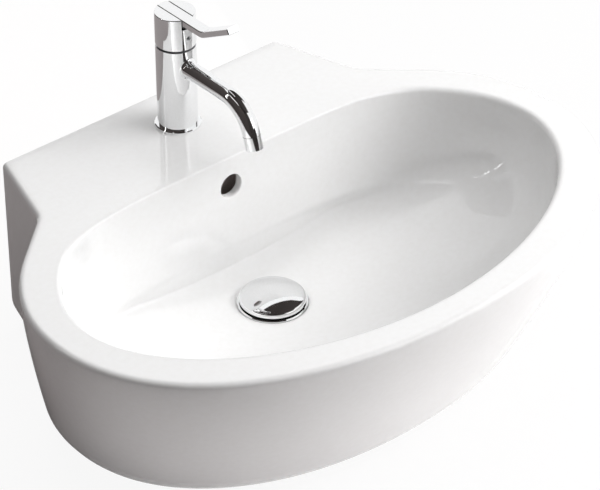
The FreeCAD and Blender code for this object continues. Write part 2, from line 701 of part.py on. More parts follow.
def head_screw():
    """Grub screw in the head's front that grips the spindle, with a hexagonal socket."""
    start = SPINDLE_R + SEAT
    length = TAP_R - HEAD_SCREW_RECESS - start
    body = rod(HEAD_SCREW_R, 0, length).cut(hexagon(HEAD_SCREW_R, length - 2 * HEAD_SCREW_R, length + 1))
    body.rotate(V(0, 0, 0), V(1, 0, 0), 90)
    body.translate(V(0, -start, SPINDLE_TOP - HUB_H / 2))
    return on_tap(body)


def lever_pin():
    """Steel pin across the head's slot that the lever tilts on."""
    half = LEVER_W / 2 + SLOT_GAP
    reach = math.sqrt(TAP_R ** 2 - LEVER_PIN_R ** 2) - CLEAR
    return on_tap(cross_rod(LEVER_PIN_R, -half - 2 * LEVER_PIN_R + CLEAR, reach, 0, LEVER_PIVOT))


def lever():
    """Lever: a flat bar that lies in the slot, bends up beyond the head and has a fork for the stem."""
    top, low = HEAD_TOP, HEAD_TOP - LEVER_T
    rise = math.radians(LEVER_RISE)
    out, up = V(0, -math.cos(rise), math.sin(rise)), V(0, math.sin(rise), math.cos(rise))
    half_turn = rise / 2
    inner, outer = LEVER_BEND_R, LEVER_BEND_R + LEVER_T
    x = -LEVER_W / 2
    bend_centre = V(x, -LEVER_LEVEL + inner * math.tan(half_turn), top + inner)

    def on_bend(r, turn):
        return bend_centre + V(0, -r * math.sin(turn), -r * math.cos(turn))

    tip_top = on_bend(inner, rise) + out * (LEVER_ARM - inner * math.tan(half_turn))
    tip_low = tip_top - up * LEVER_T
    tail_top, tail_low = V(x, TAP_R, top), V(x, TAP_R, top - LEVER_TAIL_T)
    under = V(x, 0, low)
    edges = [line(tail_top, on_bend(inner, 0))]
    edges.append(arc(on_bend(inner, 0), on_bend(inner, half_turn), on_bend(inner, rise)))
    edges += [line(on_bend(inner, rise), tip_top), line(tip_top, tip_low)]
    edges.append(line(tip_low, on_bend(outer, rise)))
    edges.append(arc(on_bend(outer, rise), on_bend(outer, half_turn), on_bend(outer, 0)))
    edges += [line(on_bend(outer, 0), under), line(under, tail_low), line(tail_low, tail_top)]
    bar = swept(edges, V(LEVER_W, 0, 0))
    tip = [e for e in bar.Edges if e.BoundBox.YMax < tip_low.y + 1e-3 and e.BoundBox.ZMin > HEAD_TOP]
    long_edges = [e for e in bar.Edges if e.BoundBox.XLength < 1e-6 and e.BoundBox.YMax < 1e-6]
    bar = bar.makeChamfer(LEVER_EDGE, long_edges + tip)
    behind = box(-2 * TAP_R, 2 * TAP_R, 0, 2 * TAP_R, low, top)
    bar = bar.cut(behind.cut(rod(TAP_R - SEAT, low, top)))
    half, gap = TONGUE_W / 2, STEM_BALL_R + LOOSE
    for side in (-1, 1):
        y0, y1 = sorted((side * gap, side * (gap + PRONG_T)))
        bar = bar.fuse(box(-half, half, y0, y1, STEM_BALL - STEM_BALL_R / 3, low + LEVER_T / 8))
    bar = bar.removeSplitter().cut(cross_rod(LEVER_PIN_R + RUN, -LEVER_W, LEVER_W, 0, LEVER_PIVOT))
    return on_tap(bar)


def tap_stud():
    """Threaded rod that pulls the tap down on the deck."""
    top = INLET_DEEP - SPIGOT_L
    return on_tap(rod(STUD_R, top - STUD_L, top, 0, STUD_BACK))


def horseshoe(z0, z1):
    """Disc with a wide slot from the front for the supplies and a hole for the stud."""
    half = HORSESHOE_GAP / 2
    slot = box(-half, half, -2 * HORSESHOE_R, HORSESHOE_SLOT_END, z0 - 1, z1 + 1)
    body = rod(HORSESHOE_R, z0, z1).cut(slot)
    return on_tap(body.cut(rod(STUD_R + SLIDE, z0 - 1, z1 + 1, 0, STUD_BACK)))


def horseshoe_gasket():
    """Rubber pad under the deck."""
    return horseshoe(-DECK_T - HORSESHOE_GASKET_T, -DECK_T)


def horseshoe_plate():
    """Steel plate under the pad."""
    top = -DECK_T - HORSESHOE_GASKET_T
    return horseshoe(top - HORSESHOE_PLATE_T, top)


def stud_nut():
    """Long brass nut on the stud."""
    top = -DECK_T - HORSESHOE_GASKET_T - HORSESHOE_PLATE_T
    body = hexagon(STUD_NUT_HEX, top - STUD_NUT_L, top, 0, STUD_BACK)
    return on_tap(body.cut(rod(STUD_R + SEAT, top - STUD_NUT_L - 1, top + 1, 0, STUD_BACK)))


def waste_body():
    """Brass waste: flange, threaded tube with overflow windows and a spider for the click sleeve."""
    end, thread = TAIL_CLEAR_OF_COUNTER, WASTE_NUT_Z - THREAD_PAST_NUT
    body = spun([(TAIL_BORE_R, end), (TAIL_END_R, end), (TAIL_END_R, thread), (TAIL_R, thread),
                 (TAIL_R, FLANGE_Z), (FLANGE_R, FLANGE_Z), (FLANGE_R, FLANGE_TOP - FLANGE_EDGE),
                 (FLANGE_R - FLANGE_EDGE, FLANGE_TOP), (TAIL_BORE_R + FLANGE_T, FLANGE_TOP),
                 (TAIL_BORE_R, FLANGE_TOP - FLANGE_T)])
    z0 = BOSS_Z + DUCT_WALL
    for k in range(WINDOW_COUNT):
        window = box(0, 2 * TAIL_R, -WINDOW_ARC_W / 2, WINDOW_ARC_W / 2, z0, DUCT_TOP - 1)
        window.rotate(V(0, 0, 0), V(0, 0, 1), 45 + 360 * k / WINDOW_COUNT)
        body = body.cut(window)
    sleeve_r = PLUNGER_R + CLEAR + SLEEVE_T
    top = z0 - 2
    hub = rod(sleeve_r + SEAT + SPIDER_BOSS_T, top - SPIDER_T, top)
    for k in range(3):
        arm = box(0, TAIL_BORE_R + 1, -SPIDER_ARM_W / 2, SPIDER_ARM_W / 2, top - SPIDER_T, top)
        arm.rotate(V(0, 0, 0), V(0, 0, 1), 90 + 120 * k)
        hub = hub.fuse(arm)
    body = body.fuse(hub).removeSplitter().cut(rod(sleeve_r + SEAT, top - SPIDER_T - 1, top + 1))
    return on_drain(body)


def waste_top_seal():
    """Rubber ring between the flange and the ceramic."""
    return on_drain(ring(FLANGE_R - 1, DRAIN_HOLE_R + 0.5, SEAT_Z, FLANGE_Z))


def waste_gasket():
    """Tapered rubber gasket under the ceramic."""
    bore = TAIL_R + SEAT
    return on_drain(spun([(bore, GASKET_Z), (GASKET_R, GASKET_Z), (GASKET_R - 4, BOSS_Z), (bore, BOSS_Z)]))


def waste_washer():
    """Slip washer between the gasket and the nut."""
    return on_drain(ring(WASHER_R, TAIL_R + SEAT, WASHER_Z, GASKET_Z))


def waste_nut():
    """Back nut on the waste's thread."""
    body = hexagon(WASTE_NUT_HEX, WASTE_NUT_Z, WASHER_Z)
    return on_drain(body.cut(rod(TAIL_R + SEAT, WASTE_NUT_Z - 1, WASHER_Z + 1)))


def dome_outline():
    """Edges round half a section of the plug's cap: band, rounded rim, shallow crown and flat underside."""
    z0 = CAP_Z + CAP_BAND
    crown = ((CAP_R - CAP_RIM_R) ** 2 + CAP_DOME ** 2 - CAP_RIM_R ** 2) / (2 * (CAP_DOME - CAP_RIM_R))
    low = z0 + CAP_DOME - crown
    meet = math.atan2(CAP_R - CAP_RIM_R, z0 - low)

    def on_rim(turn):
        return V(CAP_R - CAP_RIM_R + CAP_RIM_R * math.sin(turn), 0, z0 + CAP_RIM_R * math.cos(turn))

    def on_crown(turn):
        return V(crown * math.sin(turn), 0, low + crown * math.cos(turn))

    upright = math.pi / 2
    corners = [on_crown(0), V(0, 0, CAP_Z), V(CAP_R, 0, CAP_Z), on_rim(upright)]
    edges = [line(a, b) for a, b in zip(corners, corners[1:])]
    edges.append(arc(on_rim(upright), on_rim((upright + meet) / 2), on_rim(meet)))
    edges.append(arc(on_crown(meet), on_crown(meet / 2), on_crown(0)))
    return edges


def plug_cap():
    """Domed cap with a hollow underside, a seal groove and a threaded boss."""
    top = CAP_Z + CAP_BAND + CAP_DOME
    inner_r = PLUG_SEAL_R - PLUG_SEAL_W - CAP_T
    groove_top = FLANGE_TOP + PLUG_SEAL_T + 2 * CLEAR
    body = Part.Face(Part.Wire(Part.__sortEdges__(dome_outline()))).revolve(V(0, 0, 0), V(0, 0, 1), 360)
    body = body.cut(rod(inner_r, CAP_Z - 1, top - 2 * CAP_T))
    body = body.cut(ring(PLUG_SEAL_R + SEAT, PLUG_SEAL_R - PLUG_SEAL_W - SEAT, CAP_Z - 1, groove_top))
    boss = rod(PLUG_STEM_R + CAP_T, CAP_Z - 1, top - CAP_T)
    body = body.fuse(boss).removeSplitter()
    return on_drain(body.cut(rod(PLUG_STEM_R + SEAT, CAP_Z - 2, CAP_Z + CAP_DOME - CAP_T)))


def plug_seal():
    """Rubber ring in the cap's groove, which lands on the flange."""
    z0 = FLANGE_TOP + CLEAR
    return on_drain(ring(PLUG_SEAL_R, PLUG_SEAL_R - PLUG_SEAL_W, z0, z0 + PLUG_SEAL_T))


def sleeve_floor():
    """Height of the inside floor of the click sleeve."""
    spider_top = BOSS_Z + DUCT_WALL - 2
    return spider_top + CLEAR - PLUNGER_L - PLUG_TRAVEL - SPRING_H


def plug_stem():
    """Stem that carries the cap, with a plunger that slides in the click sleeve."""
    z0 = sleeve_floor() + SPRING_H
    body = rod(PLUG_STEM_R, z0, CAP_Z + CAP_DOME - CAP_T)
    return on_drain(body.fuse(rod(PLUNGER_R, z0, z0 + PLUNGER_L)).removeSplitter())


def click_sleeve():
    """Plastic sleeve of the click mechanism, screwed into the waste's spider."""
    outer, floor = PLUNGER_R + CLEAR + SLEEVE_T, sleeve_floor()
    top = BOSS_Z + DUCT_WALL - 2 + 1
    body = rod(outer, floor - SLEEVE_FLOOR, top)
    return on_drain(body.cut(rod(PLUNGER_R + CLEAR, floor, top + 1)))


def click_spring():
    """Coil spring under the plunger, squeezed while the plug is down."""
    radius = PLUNGER_R - SPRING_WIRE
    height = SPRING_H - SPRING_WIRE
    helix = Part.makeHelix(height / SPRING_TURNS, height, radius)
    wire_r = SPRING_WIRE / 2 - SEAT
    turns = [math.radians(45 * k) for k in range(9)]
    outline = Part.makePolygon([V(radius + wire_r * math.cos(t), 0, wire_r * math.sin(t)) for t in turns])
    coil = Part.Wire(helix).makePipeShell([outline], True, True)
    coil.translate(V(0, 0, sleeve_floor() + SPRING_WIRE / 2))
    return on_drain(coil)


PIECES = [
    basin, tap_body, tap_base_ring, tap_base_seal, aerator_housing, aerator_insert, aerator_seal,
    cartridge_base, cartridge_seals, cartridge_housing, fixed_disc, moving_disc, cartridge_spindle,
    spindle_pin, cartridge_stem, cartridge_nut, glide_ring, tap_head, head_screw, lever, lever_pin,
    tap_stud, horseshoe_gasket, horseshoe_plate, stud_nut, waste_body, waste_top_seal, waste_gasket,
    waste_washer, waste_nut, plug_cap, plug_seal, plug_stem, click_sleeve, click_spring,
]


def main():
    """Build every piece and write it to a file named after it."""
    os.makedirs("parts", exist_ok=True)
    for piece in PIECES:
        shape = piece()
        name, count = piece.__name__, len(shape.Solids)
        print(f"{name}: {count} solid(s), {shape.Volume / 1000:.2f} cm3, valid {shape.isValid()}")
        shape.exportStep(f"parts/{name}.step")


main()
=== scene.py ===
"""Looks of a countertop basin: a glazed casting, a chrome single-lever tap and a press-to-open waste."""
import json
import math

import bmesh
import bpy
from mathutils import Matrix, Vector


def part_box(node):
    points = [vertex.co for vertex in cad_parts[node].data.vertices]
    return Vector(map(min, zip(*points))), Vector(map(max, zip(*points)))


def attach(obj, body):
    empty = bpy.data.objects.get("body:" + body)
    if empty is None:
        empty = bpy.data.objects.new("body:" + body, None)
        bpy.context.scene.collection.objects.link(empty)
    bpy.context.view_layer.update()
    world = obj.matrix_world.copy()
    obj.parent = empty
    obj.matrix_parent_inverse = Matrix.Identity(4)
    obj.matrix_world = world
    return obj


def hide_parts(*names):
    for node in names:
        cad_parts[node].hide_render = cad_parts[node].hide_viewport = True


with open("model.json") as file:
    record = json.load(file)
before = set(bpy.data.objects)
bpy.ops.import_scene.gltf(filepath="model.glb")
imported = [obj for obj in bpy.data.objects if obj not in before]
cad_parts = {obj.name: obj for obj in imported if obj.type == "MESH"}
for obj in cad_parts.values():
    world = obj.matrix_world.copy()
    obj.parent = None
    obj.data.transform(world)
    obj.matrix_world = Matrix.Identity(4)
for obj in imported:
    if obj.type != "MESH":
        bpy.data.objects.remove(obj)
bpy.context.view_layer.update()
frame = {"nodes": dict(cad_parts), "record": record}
NODES = frame["nodes"]
FIXED_BODY = "basin_and_fixings"


def middle(node):
    """Middle of a CAD node's box."""
    low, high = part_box(node)
    return (low + high) / 2


# Places and sizes read from the frame, in metres
BASIN_LOW, BASIN_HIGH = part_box("basin")
WIDTH = BASIN_HIGH.x - BASIN_LOW.x
RIM_H = BASIN_HIGH.z
WALL_Y = BASIN_HIGH.y
FRONT_Y = BASIN_LOW.y
TAP_Y = middle("tap_base_ring").y
DRAIN_Y = middle("waste_nut").y
RECESS_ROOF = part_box("waste_gasket")[1].z
SEAT_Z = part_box("waste_top_seal")[0].z
FLANGE_R = (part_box("waste_body")[1].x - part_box("waste_body")[0].x) / 2

# Plan of the rim and how the hull draws in below it
OVAL_DEPTH = 0.4005
OVAL_POWER = 2.115
BACK_W = 0.340
FLANK_FLARE = 0.292
NECK_SHARE = 0.808
NECK_R = 0.032
SIDE_DRAFT = 0.0545
FRONT_DRAFT = 0.075
BACK_SWELL = 0.0185
DRAFT_POWER = 1.3
RIM_R = 0.005
FOOT_R = 0.038
BACK_EDGE_R = 0.0025
REAR_CHAMFER = 0.022

# Bowl
TAP_TO_BOWL = 0.079
BOWL_BACK = TAP_Y - TAP_TO_BOWL
BOWL_DEPTH = 0.136
RIM_SIDE = 0.036
RIM_FRONT = 0.032
BOWL_OVAL_DEPTH = 0.340
BOWL_POWER = 1.942
BOWL_EDGE_R = 0.005
BACK_RIM_R = 0.0018
BACK_LEAN = 0.004
DRAIN_FLAT = 0.002
FLOOR_R = FLANGE_R + DRAIN_FLAT
CORNER_BLEND = 0.038
CREASE_BLEND = 0.0025

# Distances from the back wall over which the bowl's edge turns crisp
CRISP_FROM = 0.020
CRISP_FULL = 0.003

# How the bowl's plan changes with the share of its depth
SIDE_POWER = 3
BACK_POWER = 5
BACK_FULLNESS = 1.17
SQUARING = 1.5
SQUARING_POWER = 4
SQUARING_END = 20
CREASE_FROM = 0.72
CREASE_FULL = 0.86

# Drain seat and overflow
DRAIN_HOLE_R = 0.023
SEAT_GAP = 0.0004
OVERFLOW_R = 0.0123
OVERFLOW_DROP = 0.033
OVERFLOW_Z = RIM_H - OVERFLOW_DROP
OVERFLOW_LIP = 0.0022
LIP_START = 0.0006
DUCT_WALL = 0.0072
DUCT_T = 0.012
DUCT_W = 0.040
DUCT_HEADROOM = 0.002
DUCT_FLOOR_T = 0.010
DUCT_LOW = RECESS_ROOF + DUCT_FLOOR_T
DUCT_RISE = 0.010
DUCT_STEP = 0.0005

# Underside
FOOT_W = 0.034
RECESS_POWER = 2.8
CERAMIC_T = 0.014
DECK_T = 0.016
DECK_Z = RIM_H - DECK_T
DUCT_ROOM = 0.032
WINDOW_W = 0.190
WINDOW_H = 0.130
WINDOW_R = 0.020
WINDOW_LOW = -0.020
TAP_HOLE_R = 0.0175
WALL_HOLE_R = 0.007
WALL_HOLE_X = 0.140
WALL_HOLE_Z = 0.115

# Collar at the end of the spout
SPOUT_TURN = math.radians(74)
SPOUT_R = 0.0085
COLLAR_L = 0.014
JOINT_R = 0.00022
JOINT_SINK = 0.3
JOINT_COLUMNS = 72
JOINT_ROWS = 8

# Columns of faces round half of the casting, from the front to the back
OVAL_COLUMNS = 58
LINE_COLUMNS = 5
NECK_COLUMNS = 10
FLANK_COLUMNS = 8
CORNER_COLUMNS = 4
BACK_COLUMNS = 22
LATE_COLUMNS = LINE_COLUMNS + NECK_COLUMNS + FLANK_COLUMNS + CORNER_COLUMNS + BACK_COLUMNS

# Rows of faces down the casting, and the degrees that the bowl's rows turn from its floor up
BOWL_ROWS = 104
BOWL_TURN = 84
UPRIGHT_ROWS = 4
EDGE_ROWS = 6
RIM_ROWS = 8
SIDE_ROWS = 30
FOOT_ROWS = 12

# Shares of the way at which loops cross the rim, the foot, the recess's side and its roof
RIM_SHARES = (0.06, 0.3, 0.7, 0.94)
FOOT_SHARES = (0.1, 0.9, 1.0)
RECESS_SHARES = (0.03, 0.97, 1.0)
ROOF_SHARES = (0.03, 0.6, 0.98, 1.0)

# Cutters: how far they run past a face, and points round their holes and arcs
PAST = 0.001
HOLE_POINTS = 64
WALL_HOLE_POINTS = 40
ARC_STEPS = 8

# Distances at which points count as one and faces as part of the duct
WELD = 1e-6
NEAR = 1e-4

# Degrees from which an edge stays sharp
CASTING_SHARP = 32
NODE_SHARP = 28
ALL_SMOOTH = 180

# Finishes
WHITE = (1, 1, 1, 1)
BUMP_DEPTH = 0.001
TONE_FROM = 0.3
TONE_FULL = 0.7
MATT = 0.9

# Floor and world
FLOOR_REACH = 6.0
FLOOR_TONE = (0.90, 0.87, 0.87)
FLOOR_GLOW = 0.92
WORLD_STRENGTH = 0.05

# Places of the lamps and the points that they are aimed at
KEY_AT = (1.6, -1.3, 1.5)
FILL_AT = (0.5, -2.1, 0.9)
TOP_AT = (0.1, 0.2, 2.1)
STRIP_AT = (-0.95, 0.6, 0.78)
AIM = (0.0, 0.0, 0.12)
STRIP_AIM = (0.24, -0.02, 0.12)

# Mats and cards: heights, tones, and where the left mat fades along Y; the left mat's tone is painted shade
MAT_Z = 0.001
CEILING_Z = 1.9
LEFT_MAT_SHADE_TONE = (0.42, 0.385, 0.385)
FRONT_MAT_TONE = (0.16, 0.145, 0.145)
CARD_TONE = (0.05, 0.043, 0.041)
MAT_CLEAR_Y = -0.24
MAT_FULL_Y = 0.12

# Camera, in metres, degrees and millimetres
CAMERA_AT = (-1.4895, -1.7361, 1.7844)
CAMERA_DOWN = 35.63
CAMERA_TURN = -40.70
CAMERA_FAR = 50.0
SENSOR = 36.0
FOCAL_LENGTH = 180.0


def signed_power(value, power):
    """Power of a number that keeps the number's sign."""
    return math.copysign(abs(value) ** power, value)


def soft_least(a, b, reach):
    """Smaller of two lengths, blended over a given reach."""
    share = min(max(0.5 + 0.5 * (b - a) / reach, 0.0), 1.0)
    return b + (a - b) * share - reach * share * (1 - share)


def ease(value, low, high):
    """Smooth step from 0 at low to 1 at high."""
    share = min(max((value - low) / (high - low), 0.0), 1.0)
    return share * share * (3 - 2 * share)


def leave_turn():
    """Turn on the rim's oval where it runs on straight to the neck."""
    return math.acos(NECK_SHARE ** (OVAL_POWER / 2))


def oval_turns():
    """Turns of the oval columns, from the front to where the oval ends."""
    span = math.pi / 2 + leave_turn()
    return [-math.pi / 2 + span * k / OVAL_COLUMNS for k in range(OVAL_COLUMNS + 1)]


def late_turns():
    """Turns of the bowl's columns beyond the oval ones, up to the middle of the back wall."""
    span = math.pi / 2 - leave_turn()
    return [leave_turn() + span * k / LATE_COLUMNS for k in range(1, LATE_COLUMNS + 1)]


def between(a, b, count):
    """Points from a to b, without a."""
    return [a + (b - a) * (k / count) for k in range(1, count + 1)]


def rounded(corner, into, away, r, count):
    """Start of the arc that rounds a corner between two unit directions, and the points along it."""
    turn = into.angle(away)
    back = r * math.tan(turn / 2)
    start, end = corner - into * back, corner + away * back
    centre = corner + (away - into).normalized() * (r / math.cos(turn / 2))
    first, last = (start - centre).normalized(), (end - centre).normalized()
    return start, [centre + first.slerp(last, k / count) * r for k in range(1, count + 1)]


def hull_half(depth, inset):
    """Plan points round the right half of the hull at a depth below the rim, drawn in by inset."""
    share = (max(depth - RIM_R, 0.0) / (RIM_H - RIM_R)) ** DRAFT_POWER
    half = WIDTH / 2 - SIDE_DRAFT * share - inset
    front = FRONT_Y + FRONT_DRAFT * share + inset
    back = FRONT_Y + OVAL_DEPTH + BACK_SWELL * share - inset
    centre, reach = (front + back) / 2, (back - front) / 2
    power = 2 / OVAL_POWER
    points = []
    for t in oval_turns():
        across, along = signed_power(math.cos(t), power), signed_power(math.sin(t), power)
        points.append(Vector((half * across, centre + reach * along)))
    cos, sin = math.cos(leave_turn()), math.sin(leave_turn())
    to_neck = Vector((-half * sin * cos ** (power - 1), reach * cos * sin ** (power - 1))).normalized()
    along_flank = Vector((-FLANK_FLARE, 1)).normalized()
    inset_x = inset * math.hypot(1, FLANK_FLARE)
    flank_x = BACK_W / 2 + FLANK_FLARE * (WALL_Y - points[-1].y) - inset_x
    neck = points[-1] + to_neck * ((flank_x - points[-1].x) / (to_neck.x + FLANK_FLARE * to_neck.y))
    start, bend = rounded(neck, to_neck, along_flank, NECK_R, NECK_COLUMNS)
    points += between(points[-1], start, LINE_COLUMNS) + bend
    back_y = WALL_Y - min(inset, RIM_R) * BACK_EDGE_R / RIM_R * (1 if depth < RIM_R else 0)
    corner = Vector((BACK_W / 2 + FLANK_FLARE * (WALL_Y - back_y) - inset_x, back_y))
    start, turn = rounded(corner, along_flank, Vector((-1, 0)), BACK_EDGE_R, CORNER_COLUMNS)
    points += between(points[-1], start, FLANK_COLUMNS) + turn
    points += between(points[-1], Vector((0, back_y)), BACK_COLUMNS)
    return points


def wall_y(z):
    """Where the leaning back wall of the bowl stands at a height."""
    top = RIM_H - BOWL_EDGE_R
    return BOWL_BACK - BACK_LEAN * max(top - z, 0.0) / (top - RIM_H + BOWL_DEPTH + CERAMIC_T)


def bowl_point(t, share, grow):
    """Plan point of the bowl at a turn and at a share of the bowl's depth, grown sideways."""
    sides = math.sqrt(max(1 - share ** SIDE_POWER, 0.0))
    back_share = max(1 - share ** BACK_POWER, 0.0) ** BACK_FULLNESS
    half = FLOOR_R + (WIDTH / 2 - RIM_SIDE - FLOOR_R) * sides + grow
    rim_front = FRONT_Y + RIM_FRONT
    front = DRAIN_Y - FLOOR_R - (DRAIN_Y - FLOOR_R - rim_front) * sides - grow
    back = DRAIN_Y + FLOOR_R + (rim_front + BOWL_OVAL_DEPTH - DRAIN_Y - FLOOR_R) * back_share + grow
    power = 2 / (BOWL_POWER + SQUARING * share ** SQUARING_POWER * (1 - share ** SQUARING_END))
    centre, reach = (front + back) / 2, (back - front) / 2
    limit = wall_y(RIM_H - BOWL_DEPTH * share) + grow
    blend = CORNER_BLEND + (CREASE_BLEND - CORNER_BLEND) * ease(share, CREASE_FROM, CREASE_FULL)
    across, along = signed_power(math.cos(t), power), signed_power(math.sin(t), power)
    return Vector((half * across, soft_least(centre + reach * along, limit, blend)))


def bowl_half(share):
    """Plan points round the right half of the bowl at a share of its depth."""
    return [bowl_point(t, share, 0.0) for t in oval_turns() + late_turns()]


def edge_row(heights, grows):
    """Row round the right half of the bowl's edge, with a height and a growth for each point."""
    turns = oval_turns() + late_turns()
    shares = [(RIM_H - z) / BOWL_DEPTH for z in heights]
    return [bowl_point(t, share, grow) for t, share, grow in zip(turns, shares, grows)], heights


def edge_radius(p):
    """Radius of the bowl's edge at a plan point: crisp along the back wall and soft elsewhere."""
    crisp = ease(p.y, BOWL_BACK - CRISP_FROM, BOWL_BACK - CRISP_FULL)
    return BOWL_EDGE_R + (BACK_RIM_R - BOWL_EDGE_R) * crisp


def recess_half(outer):
    """Plan points of the foot's recess, each in the direction of a point of an outer loop."""
    half = WIDTH / 2 - SIDE_DRAFT - FOOT_R - FOOT_W
    front = FRONT_Y + FRONT_DRAFT + FOOT_R + FOOT_W
    centre, reach = Vector((0, (front + BOWL_BACK) / 2)), (BOWL_BACK - front) / 2
    points = []
    for p in outer:
        way = (p - centre).normalized()
        r = (abs(way.x / half) ** RECESS_POWER + abs(way.y / reach) ** RECESS_POWER) ** (-1 / RECESS_POWER)
        points.append(centre + way * r)
    return points


def drain_half(r, loop):
    """Circle round the drain, with its points in the directions of a loop's points."""
    axis = Vector((0, DRAIN_Y))
    return [axis + (p - axis).normalized() * r for p in loop]


def casting_loops():
    """Loops of the casting from the bowl's floor over the rim, down the hull and up under the foot."""
    loops = []
    for row in range(BOWL_ROWS + 1):
        turn = math.radians(90 - BOWL_TURN * row / BOWL_ROWS)
        share = math.sin(turn) ** (2 / SIDE_POWER)
        loops.append((bowl_half(share), RIM_H - BOWL_DEPTH * share))
    last = loops[-1][1]
    radii = [edge_radius(p) for p in loops[-1][0]]
    for row in range(1, UPRIGHT_ROWS + 1):
        heights = [last + (RIM_H - r - last) * row / UPRIGHT_ROWS for r in radii]
        loops.append(edge_row(heights, [0.0] * len(radii)))
    for row in range(1, EDGE_ROWS + 1):
        t = math.pi / 2 * row / EDGE_ROWS
        heights = [RIM_H - r * (1 - math.sin(t)) for r in radii]
        loops.append(edge_row(heights, [r * (1 - math.cos(t)) for r in radii]))
    inner, outer = loops[-1][0], hull_half(0.0, RIM_R)
    for share in RIM_SHARES:
        loops.append(([a + (b - a) * share for a, b in zip(inner, outer)], RIM_H))
    for row in range(RIM_ROWS + 1):
        t = math.pi / 2 * row / RIM_ROWS
        depth = RIM_R * (1 - math.cos(t))
        loops.append((hull_half(depth, RIM_R * (1 - math.sin(t))), RIM_H - depth))
    side = RIM_H - FOOT_R - RIM_R
    for row in range(1, SIDE_ROWS + 1):
        depth = RIM_R + side * row / SIDE_ROWS
        loops.append((hull_half(depth, 0.0), RIM_H - depth))
    for row in range(1, FOOT_ROWS + 1):
        t = math.pi / 2 * row / FOOT_ROWS
        depth = RIM_H - FOOT_R * (1 - math.sin(t))
        loops.append((hull_half(depth, FOOT_R * (1 - math.cos(t))), RIM_H - depth))
    foot = loops[-1][0]
    recess = recess_half(foot)
    hole = drain_half(DRAIN_HOLE_R, recess)
    for share in FOOT_SHARES:
        loops.append(([a + (b - a) * share for a, b in zip(foot, recess)], 0.0))
    for share in RECESS_SHARES:
        loops.append((recess, RECESS_ROOF * share))
    for share in ROOF_SHARES:
        loops.append(([a + (b - a) * share for a, b in zip(recess, hole)], RECESS_ROOF))
    loops.append((hole, SEAT_Z))
    bowl_floor = loops[0][0]
    seat = drain_half(FLANGE_R + SEAT_GAP, bowl_floor)
    loops.append((drain_half(DRAIN_HOLE_R, bowl_floor), SEAT_Z))
    loops.append((seat, SEAT_Z))
    loops.append((seat, loops[0][1] - SEAT_GAP))
    return loops


def add_object(name, mesh):
    """New object in the scene for a mesh."""
    piece = bpy.data.objects.new(name, mesh)
    bpy.context.scene.collection.objects.link(piece)
    return piece


def closed_mesh(name, verts, faces):
    """New closed mesh, with points at the same place made one and every face turned outwards."""
    mesh = bpy.data.meshes.new(name)
    mesh.from_pydata(verts, [], faces)
    work = bmesh.new()
    work.from_mesh(mesh)
    bmesh.ops.remove_doubles(work, verts=work.verts, dist=WELD)
    bmesh.ops.recalc_face_normals(work, faces=work.faces)
    work.to_mesh(mesh)
    work.free()
    return mesh


def casting_mesh():
    """Closed mesh of the casting, before its holes: every loop joined to the next, the last to the first."""
    verts, loops = [], casting_loops()
    for half, z in loops:
        heights = z if isinstance(z, list) else [z] * len(half)
        right = [(p.x, p.y, height) for p, height in zip(half, heights)]
        verts += right + [(-x, y, height) for x, y, height in reversed(right[1:-1])]
    count = len(verts) // len(loops)
    faces = []
    for row in range(len(loops)):
        here, there = row * count, (row + 1) % len(loops) * count
        for k in range(count):
            nxt = (k + 1) % count
            faces.append((here + k, there + k, there + nxt, here + nxt))
    return closed_mesh("basin_casting", verts, faces)


def prism(name, rings):
    """Object with a closed mesh through rings of points, joined in order and capped at both ends."""
    verts = [p for ring in rings for p in ring]
    count = len(rings[0])
    faces = [tuple(reversed(range(count))), tuple(range(len(verts) - count, len(verts)))]
    for row in range(len(rings) - 1):
        here, there = row * count, (row + 1) * count
        for k in range(count):
            nxt = (k + 1) % count
            faces.append((here + k, here + nxt, there + nxt, there + k))
    return add_object(name, closed_mesh(name, verts, faces))


def circle(r, count):
    """Points of a circle, none of them on an axis."""
    turns = [2 * math.pi * (k + 0.5) / count for k in range(count)]
    return [(r * math.cos(t), r * math.sin(t)) for t in turns]


def circle_ring(r, x, y, z, count):
    """Ring of points in a plane across Y."""
    return [(x + across, y, z + up) for across, up in circle(r, count)]


def box_ring(half, y, low, top):
    """Four corners in a plane across Y, the same distance to both sides of the middle."""
    return [(-half, y, low), (half, y, low), (half, y, top), (-half, y, top)]


def level(plan, z):
    """Plan points at a height."""
    return [(x, y, z) for x, y in plan]


def plumbing_space():
    """Space behind the bowl for the tap's fixings, open below and closer to the walls above the foot."""
    front, back = BOWL_BACK + DUCT_ROOM, WALL_Y - CERAMIC_T
    slope = math.hypot(1, FLANK_FLARE)
    rings = []
    for z, wall in ((-PAST, FOOT_R + CERAMIC_T), (FOOT_R + CERAMIC_T, CERAMIC_T), (DECK_Z, CERAMIC_T)):
        near, far = [BACK_W / 2 + FLANK_FLARE * (WALL_Y - y) - wall * slope for y in (front, back)]
        rings.append(level([(-near, front), (near, front), (far, back), (-far, back)], z))
    return prism("plumbing_space", rings)


def wall_span():
    """Where cutters through the back of the casting start and end along Y."""
    return WALL_Y - 2 * CERAMIC_T, WALL_Y + PAST


def supply_window():
    """Opening to the wall below the deck, with rounded upper corners."""
    half = WINDOW_W / 2
    outline = [(-half, WINDOW_LOW), (half, WINDOW_LOW)]
    for side, start in ((1, 0), (-1, 90)):
        for k in range(ARC_STEPS + 1):
            t = math.radians(start + 90 * k / ARC_STEPS)
            outline.append((side * (half - WINDOW_R) + WINDOW_R * math.cos(t),
                            WINDOW_H - WINDOW_R + WINDOW_R * math.sin(t)))
    return prism("supply_window", [[(x, y, z) for x, z in outline] for y in wall_span()])


def tap_hole():
    """Round hole through the deck."""
    plan = [(x, TAP_Y + y) for x, y in circle(TAP_HOLE_R, HOLE_POINTS)]
    return prism("tap_hole", [level(plan, z) for z in (DECK_Z - PAST, RIM_H + PAST)])


